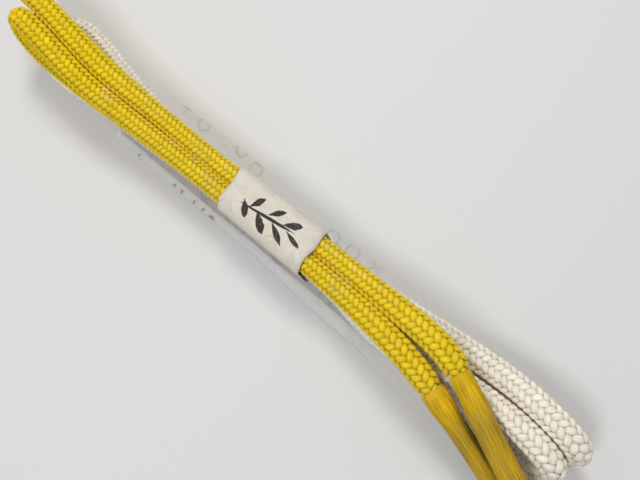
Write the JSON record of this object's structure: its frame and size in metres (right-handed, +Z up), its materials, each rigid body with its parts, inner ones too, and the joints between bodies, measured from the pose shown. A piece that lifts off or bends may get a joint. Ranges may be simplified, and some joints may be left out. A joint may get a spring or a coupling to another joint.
{
  "type": "tasselled braided sash cord",
  "caption": "Round braided silk sash cord, yellow at both ends and cream in the middle, with silk tassels, folded in a paper band and a clear film sleeve.",
  "frame": {"origin": "under the middle of the paper band, on the flat underside of the film sleeve, which is the surface the bundle lies on", "axes": "+X along the bundle towards the tassels, +Y across it towards the side where the white loop shows, +Z up"},
  "size_m": [0.2986, 0.0534, 0.0354],
  "materials": {
    "silk_yellow": "matte",
    "silk_white": "matte",
    "filler_yarn": "matte",
    "tassel_silk": "satin",
    "binding_thread": "satin",
    "clear_film": "gloss",
    "band_paper": "matte"
  },
  "bodies": {
    "cord": {"braid_yellow_left": "silk_yellow", "braid_white": "silk_white", "braid_yellow_right": "silk_yellow", "core_yarn": "filler_yarn", "tassel_left": "tassel_silk", "tassel_right": "tassel_silk", "neck_binding_left": "binding_thread", "neck_binding_right": "binding_thread", "tassel_wrap_left": "clear_film", "tassel_wrap_right": "clear_film"},
    "band": {"paper_band": "band_paper"},
    "sleeve": {"film_sleeve": "clear_film"}
  },
  "joints": [
    {"name": "band_slide", "type": "slide", "parent": "cord", "child": "band", "axis": [1, 0, 0], "range_m": [-0.04, 0.012]},
    {"name": "sleeve_slide", "type": "slide", "parent": "cord", "child": "sleeve", "axis": [-1, 0, 0], "range_m": [0, 0.31]}
  ]
}
